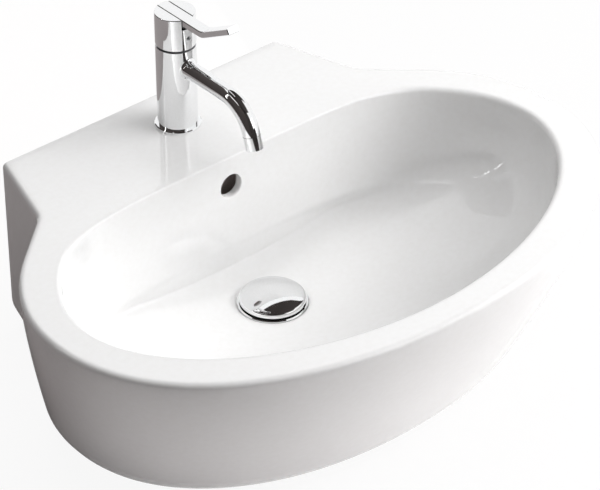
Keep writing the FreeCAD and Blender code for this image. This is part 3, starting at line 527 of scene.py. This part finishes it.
def wall_hole(side):
    """Hole for a wall bolt, on the left (-1) or on the right (1)."""
    x = side * WALL_HOLE_X
    rings = [circle_ring(WALL_HOLE_R, x, y, WALL_HOLE_Z, WALL_HOLE_POINTS) for y in wall_span()]
    return prism("wall_hole", rings)


def overflow_cutters():
    """Overflow hole with its rounded lip, the duct behind it and the way from the duct to the drain."""
    face = wall_y(OVERFLOW_Z)
    duct, duct_middle = face + DUCT_WALL, face + DUCT_WALL + DUCT_T / 2
    rings = []
    for k in range(ARC_STEPS + 1):
        t = math.pi / 2 * k / ARC_STEPS
        r = OVERFLOW_R + OVERFLOW_LIP * (1 - math.sin(t))
        y = face - LIP_START + OVERFLOW_LIP * (1 - math.cos(t))
        rings.append(circle_ring(r, 0, y, OVERFLOW_Z, HOLE_POINTS))
    rings.append(circle_ring(OVERFLOW_R, 0, duct_middle, OVERFLOW_Z, HOLE_POINTS))
    hole = prism("overflow_hole", rings)
    half, top = DUCT_W / 2, OVERFLOW_Z + OVERFLOW_R + DUCT_HEADROOM
    rings = [box_ring(half, y, DUCT_LOW, top) for y in (duct, duct + DUCT_T)]
    upright_duct = prism("overflow_duct", rings)
    half, low, top = half - DUCT_STEP, DUCT_LOW + DUCT_STEP, DUCT_LOW + DUCT_RISE
    rings = [box_ring(half, y, low, top) for y in (DRAIN_Y, duct_middle)]
    return [hole, upright_duct, prism("duct_to_drain", rings)]


def rear_chamfer():
    """Chamfer along the lower edge of the back."""
    start, behind = WALL_Y - REAR_CHAMFER, WALL_Y + PAST
    section = [(start, 0), (behind, REAR_CHAMFER + PAST), (behind, -PAST), (start - PAST, -PAST)]
    return prism("rear_chamfer", [[(x, y, z) for y, z in section] for x in (-WIDTH / 2, WIDTH / 2)])


def casting_cutters():
    """Shapes cut out of the casting, in the order in which they are cut."""
    cutters = [plumbing_space(), supply_window(), tap_hole(), wall_hole(-1), wall_hole(1)]
    return cutters + overflow_cutters() + [rear_chamfer()]


def cut(piece, cutters):
    """Cuts shapes out of a piece and removes them."""
    for shape in cutters:
        change = piece.modifiers.new(shape.name, "BOOLEAN")
        change.object, change.operation, change.solver = shape, "DIFFERENCE", "EXACT"
    graph = bpy.context.evaluated_depsgraph_get()
    mesh = bpy.data.meshes.new_from_object(piece.evaluated_get(graph))
    piece.modifiers.clear()
    piece.data = mesh
    for shape in cutters:
        bpy.data.objects.remove(shape)


def smooth_faces(piece, degrees):
    """Smooth shading, with edges sharper than an angle kept sharp."""
    work = bmesh.new()
    work.from_mesh(piece.data)
    for face in work.faces:
        face.smooth = True
    for edge in work.edges:
        edge.smooth = len(edge.link_faces) == 2 and edge.calc_face_angle(0) < math.radians(degrees)
    work.to_mesh(piece.data)
    work.free()


def basin_casting(glaze, clay):
    """Glazed casting that stands for the CAD basin, with raw clay and painted shade in its duct."""
    piece = add_object("basin_casting", casting_mesh())
    cut(piece, casting_cutters())
    smooth_faces(piece, CASTING_SHARP)
    piece.data.materials.append(glaze)
    # Second material: stained clay darkened with painted shade, for the faces of the duct
    piece.data.materials.append(clay)
    duct = wall_y(OVERFLOW_Z) + DUCT_WALL
    for face in piece.data.polygons:
        at = face.center
        in_duct = abs(at.x) < DUCT_W and duct - NEAR < at.y < duct + DUCT_T + NEAR
        face.material_index = 1 if in_duct and at.z > DUCT_LOW - NEAR else 0
    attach(piece, FIXED_BODY)
    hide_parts("basin")


def collar_joint(rubber):
    """Thin dark joint where the aerator's collar meets the spout."""
    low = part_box("aerator_housing")[0]
    along = Vector((0, -math.cos(SPOUT_TURN), -math.sin(SPOUT_TURN)))
    across = Vector((0, -along.z, along.y))
    end = Vector((0, low.y + SPOUT_R * math.sin(SPOUT_TURN), low.z + SPOUT_R * math.cos(SPOUT_TURN)))
    centre = end - along * COLLAR_L
    verts, faces = [], []
    for k in range(JOINT_COLUMNS):
        t = 2 * math.pi * k / JOINT_COLUMNS
        out = Vector((math.cos(t), 0, 0)) + across * math.sin(t)
        a, b = k * JOINT_ROWS, (k + 1) % JOINT_COLUMNS * JOINT_ROWS
        for n in range(JOINT_ROWS):
            u = 2 * math.pi * n / JOINT_ROWS
            r = SPOUT_R + JOINT_R * (math.cos(u) - JOINT_SINK)
            verts.append(centre + out * r + along * (JOINT_R * math.sin(u)))
            m = (n + 1) % JOINT_ROWS
            faces.append((a + n, a + m, b + m, b + n))
    mesh = bpy.data.meshes.new("collar_joint")
    mesh.from_pydata(verts, [], faces)
    piece = add_object("collar_joint", mesh)
    smooth_faces(piece, ALL_SMOOTH)
    mesh.materials.append(rubber)
    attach(piece, FIXED_BODY)


def shader(name):
    """New material with a Principled shader, and its nodes and links."""
    material = bpy.data.materials.new(name)
    material.use_nodes = True
    nodes, links = material.node_tree.nodes, material.node_tree.links
    return material, nodes, links, nodes["Principled BSDF"]


def surface_variation():
    """Group of slow waviness and fine specks, for the bump, the roughness and the colour of a finish."""
    group = bpy.data.node_groups.new("surface_variation", "ShaderNodeTree")
    inputs = {"Wave Scale": 6.0, "Speck Scale": 400.0, "Rough Low": 0.04, "Rough High": 0.08}
    for name, value in inputs.items():
        socket = group.interface.new_socket(name, in_out="INPUT", socket_type="NodeSocketFloat")
        socket.default_value = value
    for name in ("Height", "Roughness", "Specks"):
        group.interface.new_socket(name, in_out="OUTPUT", socket_type="NodeSocketFloat")
    nodes, links = group.nodes, group.links
    start, end = nodes.new("NodeGroupInput"), nodes.new("NodeGroupOutput")
    place = nodes.new("ShaderNodeTexCoord")
    wave, speck = nodes.new("ShaderNodeTexNoise"), nodes.new("ShaderNodeTexNoise")
    wave.inputs["Detail"].default_value = 2.0
    speck.inputs["Detail"].default_value = 3.0
    spread = nodes.new("ShaderNodeMapRange")
    links.new(place.outputs["Object"], wave.inputs["Vector"])
    links.new(place.outputs["Object"], speck.inputs["Vector"])
    links.new(start.outputs["Wave Scale"], wave.inputs["Scale"])
    links.new(start.outputs["Speck Scale"], speck.inputs["Scale"])
    links.new(wave.outputs["Fac"], spread.inputs["Value"])
    links.new(start.outputs["Rough Low"], spread.inputs["To Min"])
    links.new(start.outputs["Rough High"], spread.inputs["To Max"])
    links.new(wave.outputs["Fac"], end.inputs["Height"])
    links.new(spread.outputs["Result"], end.inputs["Roughness"])
    links.new(speck.outputs["Fac"], end.inputs["Specks"])
    return group


def varied(nodes, links, finish, group, values, bump):
    """Places the variation group in a material and links it to roughness and bump."""
    variation = nodes.new("ShaderNodeGroup")
    variation.node_tree = group
    for name, value in values.items():
        variation.inputs[name].default_value = value
    relief = nodes.new("ShaderNodeBump")
    relief.inputs["Strength"].default_value = bump
    relief.inputs["Distance"].default_value = BUMP_DEPTH
    links.new(variation.outputs["Height"], relief.inputs["Height"])
    links.new(relief.outputs["Normal"], finish.inputs["Normal"])
    links.new(variation.outputs["Roughness"], finish.inputs["Roughness"])
    return variation


def toned(nodes, links, finish, mask, low, high):
    """Colour that moves between two tones with a mask."""
    ramp = nodes.new("ShaderNodeValToRGB")
    first, last = ramp.color_ramp.elements
    first.position, last.position = TONE_FROM, TONE_FULL
    first.color, last.color = (*low, 1), (*high, 1)
    links.new(mask, ramp.inputs["Fac"])
    links.new(ramp.outputs["Color"], finish.inputs["Base Color"])


def speckled(name, group, values, tones, bump):
    """New material with the variation group in it, whose specks move its colour between two tones."""
    material, nodes, links, finish = shader(name)
    variation = varied(nodes, links, finish, group, values, bump)
    toned(nodes, links, finish, variation.outputs["Specks"], *tones)
    return material, finish


def white_glaze(group):
    """Thick white glaze: glossy, with a faint waviness and a hardly visible warm mottle."""
    values = {"Wave Scale": 9.0, "Speck Scale": 180.0, "Rough Low": 0.03, "Rough High": 0.07}
    tones = (0.885, 0.882, 0.878), (0.905, 0.905, 0.905)
    material, finish = speckled("white_glaze", group, values, tones, bump=0.05)
    finish.inputs["IOR"].default_value = 1.52
    finish.inputs["Coat Weight"].default_value = 0.3
    finish.inputs["Coat Roughness"].default_value = 0.02
    return material


def stained_and_shaded_clay(group):
    """Fired clay without glaze, dull and stained, inside the overflow, darkened with painted shade."""
    values = {"Wave Scale": 40.0, "Speck Scale": 700.0, "Rough Low": 0.75, "Rough High": 0.95}
    # Tones partly stains and partly painted shade for the hollow duct: bare bisque is paler
    tones = (0.47, 0.42, 0.41), (0.60, 0.55, 0.54)
    return speckled("stained_and_shaded_clay", group, values, tones, bump=0.3)[0]


def polished_chrome(group):
    """Bright chrome plate with faint wiping marks."""
    values = {"Wave Scale": 30.0, "Speck Scale": 900.0, "Rough Low": 0.02, "Rough High": 0.06}
    tones = (0.88, 0.885, 0.89), (0.93, 0.935, 0.94)
    material, finish = speckled("polished_chrome", group, values, tones, bump=0.02)
    finish.inputs["Metallic"].default_value = 1.0
    return material


def turned_brass(group):
    """Plain brass with a soft sheen."""
    values = {"Wave Scale": 60.0, "Speck Scale": 1200.0, "Rough Low": 0.22, "Rough High": 0.38}
    tones = (0.62, 0.45, 0.20), (0.76, 0.58, 0.29)
    material, finish = speckled("turned_brass", group, values, tones, bump=0.08)
    finish.inputs["Metallic"].default_value = 1.0
    return material


def plain_steel(group):
    """Zinc-grey steel."""
    values = {"Wave Scale": 80.0, "Speck Scale": 1500.0, "Rough Low": 0.25, "Rough High": 0.42}
    tones = (0.50, 0.51, 0.52), (0.64, 0.65, 0.66)
    material, finish = speckled("plain_steel", group, values, tones, bump=0.06)
    finish.inputs["Metallic"].default_value = 1.0
    return material


def black_rubber(group):
    """Matte rubber with a dusty grain."""
    values = {"Wave Scale": 150.0, "Speck Scale": 2500.0, "Rough Low": 0.65, "Rough High": 0.85}
    tones = (0.018, 0.018, 0.018), (0.045, 0.044, 0.043)
    return speckled("black_rubber", group, values, tones, bump=0.25)[0]


def moulded_plastic(group):
    """Dark moulded plastic with a fine grain."""
    values = {"Wave Scale": 120.0, "Speck Scale": 2000.0, "Rough Low": 0.38, "Rough High": 0.55}
    tones = (0.050, 0.050, 0.054), (0.095, 0.095, 0.10)
    return speckled("moulded_plastic", group, values, tones, bump=0.12)[0]


def lapped_ceramic(group):
    """Cream technical ceramic with a lapped face."""
    values = {"Wave Scale": 90.0, "Speck Scale": 1800.0, "Rough Low": 0.18, "Rough High": 0.30}
    tones = (0.80, 0.77, 0.70), (0.88, 0.86, 0.80)
    return speckled("lapped_ceramic", group, values, tones, bump=0.04)[0]


def smooth_look():
    """Node group that shades a CAD node smoothly, with its sharp edges kept."""
    group = bpy.data.node_groups.new("smooth_look", "GeometryNodeTree")
    group.interface.new_socket("Geometry", in_out="INPUT", socket_type="NodeSocketGeometry")
    group.interface.new_socket("Geometry", in_out="OUTPUT", socket_type="NodeSocketGeometry")
    nodes, links = group.nodes, group.links
    start, end = nodes.new("NodeGroupInput"), nodes.new("NodeGroupOutput")
    merge = nodes.new("GeometryNodeMergeByDistance")
    merge.inputs["Distance"].default_value = WELD
    faces, edges = nodes.new("GeometryNodeSetShadeSmooth"), nodes.new("GeometryNodeSetShadeSmooth")
    faces.domain, edges.domain = "FACE", "EDGE"
    edges.inputs["Shade Smooth"].default_value = False
    angle, sharp = nodes.new("GeometryNodeInputMeshEdgeAngle"), nodes.new("FunctionNodeCompare")
    sharp.data_type, sharp.operation = "FLOAT", "GREATER_THAN"
    sharp.inputs["B"].default_value = math.radians(NODE_SHARP)
    links.new(start.outputs["Geometry"], merge.inputs["Geometry"])
    links.new(merge.outputs["Geometry"], faces.inputs["Geometry"])
    links.new(faces.outputs["Geometry"], edges.inputs["Geometry"])
    links.new(angle.outputs["Unsigned Angle"], sharp.inputs["A"])
    links.new(sharp.outputs["Result"], edges.inputs["Selection"])
    links.new(edges.outputs["Geometry"], end.inputs["Geometry"])
    return group


def dress_nodes(finishes):
    """Gives every CAD node the material of its slot and smooth shading."""
    look = smooth_look()
    for row in frame["record"]["subparts"]:
        node = NODES[row["node"]]
        node.data.materials.clear()
        node.data.materials.append(finishes[row["material_slot"]])
        node.modifiers.new("smooth_look", "NODES").node_group = look


def seen_directly(nodes, links):
    """Value that is 1 for rays from the camera, in a mirror or through glass, and 0 for diffuse light."""
    path = nodes.new("ShaderNodeLightPath")
    total = path.outputs["Is Camera Ray"]
    for name in ("Is Glossy Ray", "Is Transmission Ray"):
        join = nodes.new("ShaderNodeMath")
        join.operation = "MAXIMUM"
        links.new(total, join.inputs[0])
        links.new(path.outputs[name], join.inputs[1])
        total = join.outputs["Value"]
    return total


def floor():
    """Pale floor that the camera sees as white, with the object's soft shadow left on it."""
    mesh = bpy.data.meshes.new("floor")
    corners = [(-FLOOR_REACH, -FLOOR_REACH), (FLOOR_REACH, -FLOOR_REACH),
               (FLOOR_REACH, FLOOR_REACH), (-FLOOR_REACH, FLOOR_REACH)]
    mesh.from_pydata(level(corners, 0), [], [(0, 1, 2, 3)])
    piece = add_object("floor", mesh)
    material, nodes, links, finish = shader("pale_floor")
    finish.inputs["Base Color"].default_value = (*FLOOR_TONE, 1)
    finish.inputs["Roughness"].default_value = MATT
    glow, mix = nodes.new("ShaderNodeEmission"), nodes.new("ShaderNodeMixShader")
    most = nodes.new("ShaderNodeMath")
    most.operation = "MULTIPLY"
    most.inputs[1].default_value = FLOOR_GLOW
    links.new(seen_directly(nodes, links), most.inputs[0])
    links.new(most.outputs["Value"], mix.inputs["Fac"])
    links.new(finish.outputs["BSDF"], mix.inputs[1])
    links.new(glow.outputs["Emission"], mix.inputs[2])
    links.new(mix.outputs["Shader"], nodes["Material Output"].inputs["Surface"])
    mesh.materials.append(material)


def studio_world():
    """World that the camera sees as white and that lights the object softly from all round."""
    world = bpy.data.worlds.new("studio")
    bpy.context.scene.world = world
    world.use_nodes = True
    nodes, links = world.node_tree.nodes, world.node_tree.links
    back = nodes["Background"]
    seen, mix = nodes.new("ShaderNodeBackground"), nodes.new("ShaderNodeMixShader")
    back.inputs["Color"].default_value = WHITE
    back.inputs["Strength"].default_value = WORLD_STRENGTH
    seen.inputs["Color"].default_value = WHITE
    links.new(seen_directly(nodes, links), mix.inputs["Fac"])
    links.new(back.outputs["Background"], mix.inputs[1])
    links.new(seen.outputs["Background"], mix.inputs[2])
    links.new(mix.outputs["Shader"], nodes["World Output"].inputs["Surface"])


def softbox(name, at, aim, width, height, power):
    """Soft lamp at a place, aimed at a point."""
    lamp = bpy.data.lights.new(name, "AREA")
    lamp.shape, lamp.size, lamp.size_y, lamp.energy = "RECTANGLE", width, height, power
    piece = bpy.data.objects.new(name, lamp)
    piece.location = at
    piece.rotation_euler = (Vector(aim) - Vector(at)).to_track_quat("-Z", "Y").to_euler()
    bpy.context.scene.collection.objects.link(piece)
    return piece


def card(name, corners, tone):
    """Card that the camera doesn't see and that casts no shadow, for what shiny faces show."""
    mesh = bpy.data.meshes.new(name)
    mesh.from_pydata(corners, [], [tuple(range(len(corners)))])
    piece = add_object(name, mesh)
    material, nodes, links, finish = shader(name)
    finish.inputs["Base Color"].default_value = (*tone, 1)
    finish.inputs["Roughness"].default_value = MATT
    mesh.materials.append(material)
    piece.visible_camera = False
    piece.visible_shadow = False
    return nodes, links, finish


def faded(nodes, links, finish, clear, full):
    """Lets a card fade from clear to full along Y."""
    place, split = nodes.new("ShaderNodeTexCoord"), nodes.new("ShaderNodeSeparateXYZ")
    spread = nodes.new("ShaderNodeMapRange")
    spread.interpolation_type = "SMOOTHSTEP"
    spread.inputs["From Min"].default_value = clear
    spread.inputs["From Max"].default_value = full
    links.new(place.outputs["Object"], split.inputs["Vector"])
    links.new(split.outputs["Y"], spread.inputs["Value"])
    links.new(spread.outputs["Result"], finish.inputs["Alpha"])


def upright(x0, y0, x1, y1, high):
    """Corners of a card that stands on the floor from one point to another."""
    return [(x0, y0, 0), (x1, y1, 0), (x1, y1, high), (x0, y0, high)]


def lights():
    """Soft key from the right, fill from the front and top light, and two thin strips for shiny edges."""
    key = softbox("key", KEY_AT, AIM, width=2.2, height=2.2, power=67)
    key.visible_glossy = False
    softbox("edge_strip", KEY_AT, AIM, width=1.0, height=0.05, power=3)
    softbox("fill", FILL_AT, AIM, width=2.4, height=1.4, power=8)
    top = softbox("top", TOP_AT, AIM, width=1.6, height=1.6, power=21.5)
    top.visible_glossy = False
    softbox("strip", STRIP_AT, STRIP_AIM, width=0.03, height=0.8, power=0.6)


def mats():
    """Grey mats on the floor for what shiny faces show: on the left, painted shade with a soft front edge,
    and in front.
    """
    plan = [(-1.2, -0.3), (0.0, -0.3), (0.0, 0.24), (0.25, 0.24), (0.6, 1.2), (-1.2, 1.2)]
    # Left mat: painted shade of the floor beside the basin, for shiny faces and bounced light
    faded(*card("left_shade_mat", level(plan, MAT_Z), LEFT_MAT_SHADE_TONE), MAT_CLEAR_Y, MAT_FULL_Y)
    plan = [(-1.2, -0.3), (-0.5, -0.3), (-0.25, -0.5), (0.3, -0.75),
            (0.75, -1.25), (0.2, -1.35), (-0.8, -1.05), (-1.2, -0.4)]
    card("front_mat", level(plan, MAT_Z), FRONT_MAT_TONE)


def cards():
    """Dark cards that stand behind, on the left and round the camera, and two that lie overhead."""
    card("back_card", upright(-0.2, 1.4, -1.3, 0.5, high=2.0), CARD_TONE)
    card("left_card", upright(-1.3, 0.5, -1.2, -0.4, high=2.0), CARD_TONE)
    card("camera_card", upright(-1.2, -0.4, -0.8, -1.05, high=2.3), CARD_TONE)
    card("front_card", upright(-0.8, -1.05, 0.2, -1.35, high=2.3), CARD_TONE)
    card("side_card", upright(0.2, -1.35, 0.75, -1.25, high=0.6), CARD_TONE)
    plan = [(-0.9, -1.3), (1.3, -1.3), (1.3, -0.05), (-0.9, -0.05)]
    card("ceiling_card", level(plan, CEILING_Z), CARD_TONE)
    plan = [(-0.9, -0.05), (3.0, -0.05), (3.0, 0.5), (1.5, 0.85), (0.7, 0.85), (-0.9, 0.75)]
    card("high_card", level(plan, CEILING_Z), CARD_TONE)
    bpy.data.objects["high_card"].visible_diffuse = False


def camera():
    """Camera at the photograph's viewing angle."""
    lens = bpy.data.cameras.new("photo_camera")
    lens.sensor_fit, lens.sensor_width, lens.lens = "HORIZONTAL", SENSOR, FOCAL_LENGTH
    lens.clip_end = CAMERA_FAR
    piece = bpy.data.objects.new("photo_camera", lens)
    piece.location = CAMERA_AT
    piece.rotation_euler = (math.radians(90 - CAMERA_DOWN), 0.0, math.radians(CAMERA_TURN))
    bpy.context.scene.collection.objects.link(piece)
    bpy.context.scene.camera = piece


def build():
    """Dresses the frame and sets the stage."""
    variation = surface_variation()
    finishes = {
        "basin": white_glaze(variation), "chromed_brass": polished_chrome(variation),
        "plain_brass": turned_brass(variation), "steel": plain_steel(variation),
        "rubber": black_rubber(variation), "plastic": moulded_plastic(variation),
        "disc_ceramic": lapped_ceramic(variation),
    }
    dress_nodes(finishes)
    basin_casting(finishes["basin"], stained_and_shaded_clay(variation))
    collar_joint(finishes["rubber"])
    floor()
    studio_world()
    lights()
    mats()
    cards()
    camera()
    bpy.context.scene.view_settings.view_transform = "Standard"


build()
